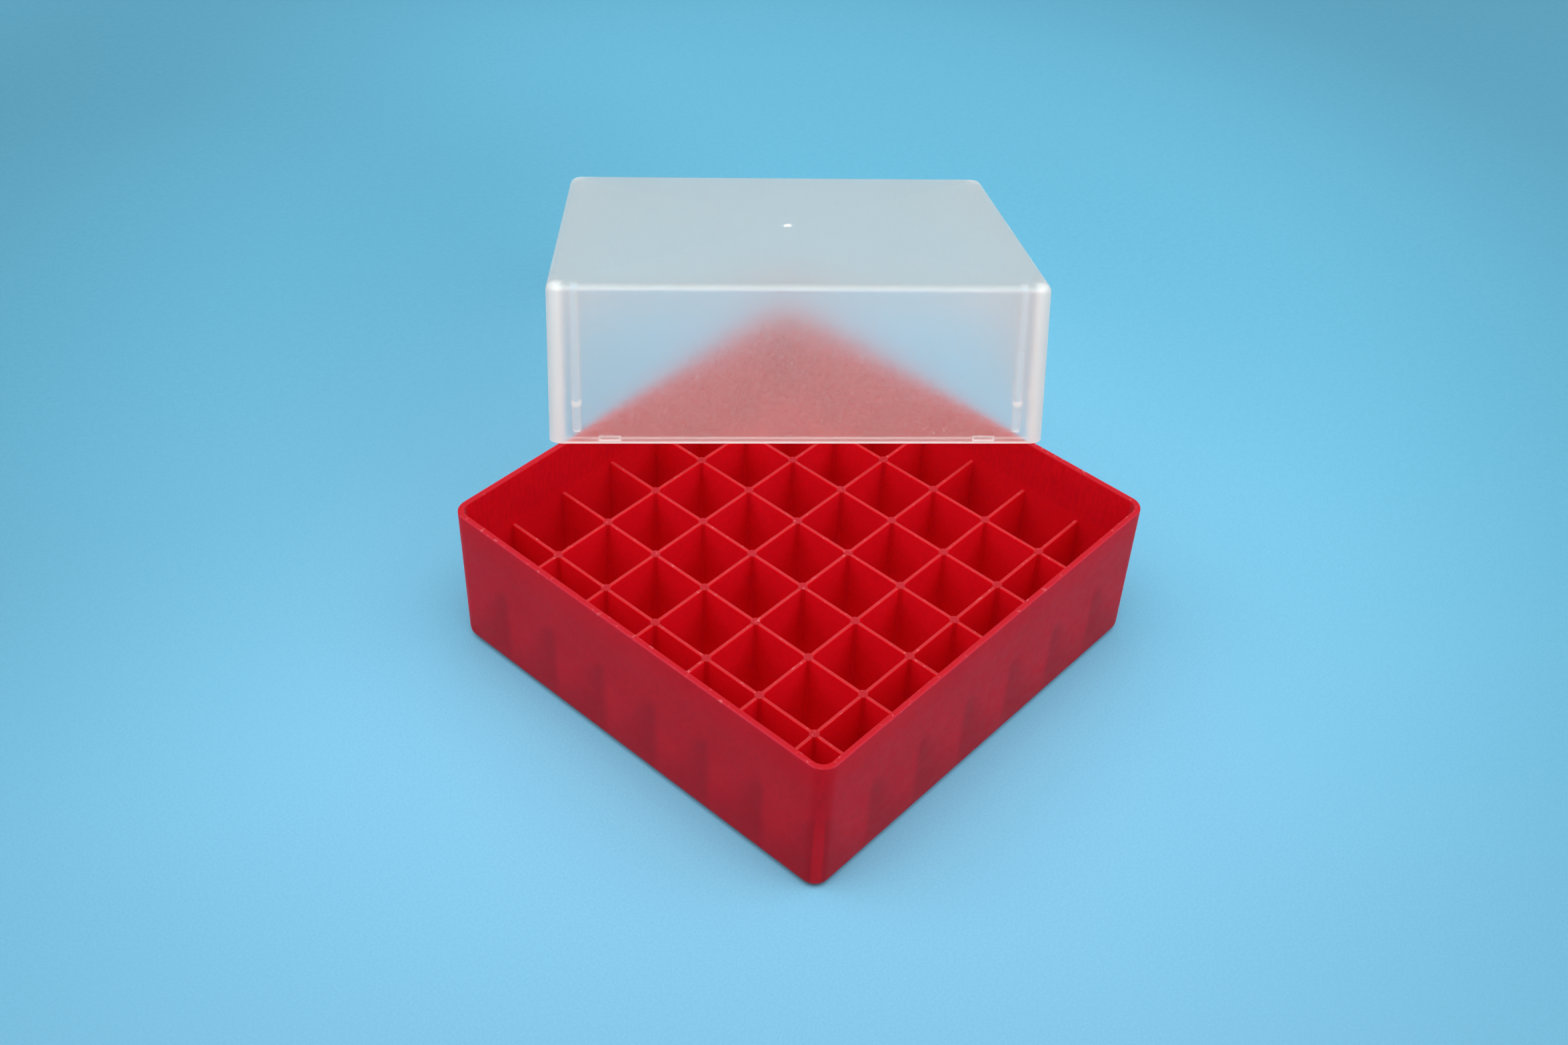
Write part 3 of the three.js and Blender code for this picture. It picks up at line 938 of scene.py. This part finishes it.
def floor_paper():
    """Pale blue paper with a fine tooth, with a painted sheen in front of the object, the lid's painted
    shadow beside it and painted shade far away.
    """
    nodes = Nodes("floor_paper")
    shader = nodes.add("ShaderNodeBsdfPrincipled")
    shader.inputs["Roughness"].default_value = 0.9
    shader.inputs["Specular IOR Level"].default_value = 0.2
    place = nodes.add("ShaderNodeTexCoord").outputs["Object"]
    # painted sheen on the floor in front of the object
    front_sheen = nodes.near(place, FLOOR_SHEEN_AT, *FLOOR_SHEEN_REACH)
    # painted shadow of the lid on the floor
    lid_shadow = nodes.near(place, LID_SHADOW_AT, *LID_SHADOW_REACH)
    colour = nodes.ramp(nodes.noise(PAPER_CLOUDS), NOISE_LOW, NOISE_HIGH, FLOOR_DEEP, FLOOR_MIDDLE)
    colour = nodes.blend(front_sheen, colour, FLOOR_SHEEN)
    colour = nodes.shade(colour, lid_shadow, LID_SHADOW_SHADE)
    # painted pool of light: the floor gets darker away from it
    light_pool = nodes.near(place, LIGHT_POOL_AT, *LIGHT_POOL_REACH)
    colour = nodes.shade(colour, nodes.math("SUBTRACT", 1.0, light_pool), LIGHT_FALLOFF_SHADE)
    tooth = nodes.noise(PAPER_TOOTH, detail=5.0, roughness=0.7)
    colour = nodes.shade(colour, nodes.rise(tooth, NOISE_LOW, NOISE_HIGH), TOOTH_SHADE)
    nodes.link(colour, shader.inputs["Base Color"])
    nodes.link(nodes.bump(tooth, 0.3, 0.1 * MM), shader.inputs["Normal"])
    nodes.link(shader.outputs["BSDF"], nodes.output.inputs["Surface"])
    return nodes.material


# ---- stage -------------------------------------------------------------------
FLOOR_HALF = 6.0                # in metres, as the lights' places and sizes are

# the camera, with its distance and target in millimetres
CAMERA_AZIMUTH = math.radians(-49.527)
CAMERA_ELEVATION = math.radians(41.933)
CAMERA_ROLL = math.radians(2.688)
CAMERA_DISTANCE = 553.68
CAMERA_TARGET = (29.65, 31.39, 0.0)
CAMERA_LENS = 43.66
SENSOR_WIDTH = 36.0
CLIP_START = 0.01
CLIP_END = 50.0

# each softbox: its name, place, size and power in watts
SOFTBOXES = (
    ("left_softbox", (-0.64, 0.44, 0.95), 0.9, 4.2),
    ("right_softbox", (0.34, -0.70, 0.95), 0.9, 4.2),
    ("top_softbox", (-0.20, -0.17, 1.4), 1.0, 9.5),
)
LID_PASSES = 0.8                # the share of each softbox's light that goes on through the lid
STUDIO_COLOUR = (0.79, 0.93, 1.0, 1)
STUDIO_STRENGTH = 0.40
LIGHT_BOUNCES = 20              # enough for light that crosses both mouldings


def make_floor():
    mesh = bpy.data.meshes.new("floor")
    half = FLOOR_HALF
    corners = [(-half, -half, 0), (half, -half, 0), (half, half, 0), (-half, half, 0)]
    mesh.from_pydata(corners, [], [(0, 1, 2, 3)])
    floor = bpy.data.objects.new("floor", mesh)
    bpy.context.scene.collection.objects.link(floor)
    mesh.materials.append(floor_paper())
    return floor


def make_camera():
    data = bpy.data.cameras.new("camera")
    data.lens = CAMERA_LENS
    data.sensor_width = SENSOR_WIDTH
    data.clip_start = CLIP_START
    data.clip_end = CLIP_END
    camera = bpy.data.objects.new("camera", data)
    back = Vector((
        math.sin(CAMERA_AZIMUTH) * math.cos(CAMERA_ELEVATION),
        -math.cos(CAMERA_AZIMUTH) * math.cos(CAMERA_ELEVATION),
        math.sin(CAMERA_ELEVATION),
    ))
    upright = (-back).to_track_quat("-Z", "Y").to_matrix().to_4x4()
    place = (Vector(CAMERA_TARGET) + back * CAMERA_DISTANCE) * MM
    camera.matrix_world = Matrix.Translation(place) @ upright @ Matrix.Rotation(CAMERA_ROLL, 4, "Z")
    bpy.context.scene.collection.objects.link(camera)
    bpy.context.scene.camera = camera


def area_light(name, place, size, power):
    """A square light that faces the object."""
    data = bpy.data.lights.new(name, "AREA")
    data.shape = "SQUARE"
    data.size = size
    data.energy = power
    light = bpy.data.objects.new(name, data)
    light.location = place
    light.rotation_mode = "QUATERNION"
    light.rotation_quaternion = (-Vector(place)).to_track_quat("-Z", "Y")
    bpy.context.scene.collection.objects.link(light)
    return light


def softbox(name, place, size, power, blockers):
    """A soft light. Part of it is stopped by every piece, and the rest goes on through the frosted lid."""
    area_light(name, place, size, power * (1 - LID_PASSES))
    through = area_light(name + "_through_lid", place, size, power * LID_PASSES)
    stops = bpy.data.collections.new(name + "_blockers")
    for blocker in blockers:
        stops.objects.link(blocker)
    through.light_linking.blocker_collection = stops


def make_lights(blockers):
    for name, place, size, power in SOFTBOXES:
        softbox(name, place, size, power, blockers)
    world = bpy.data.worlds.new("studio")
    world.use_nodes = True
    background = world.node_tree.nodes["Background"]
    background.inputs["Color"].default_value = STUDIO_COLOUR
    background.inputs["Strength"].default_value = STUDIO_STRENGTH
    scene = bpy.context.scene
    scene.world = world
    scene.view_settings.view_transform = "Standard"
    scene.cycles.max_bounces = LIGHT_BOUNCES
    scene.cycles.transmission_bounces = LIGHT_BOUNCES


# ---- the object --------------------------------------------------------------
make_camera()
floor = make_floor()

tray = make_tray()
cover(tray, red_plastic())
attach(tray, "base")
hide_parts(*frame["record"]["behaviour"]["bodies"]["base"])

lid = make_lid()
cover(lid, frosted_plastic())
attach(lid, "lid")
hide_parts("lid")

make_lights([tray, floor])
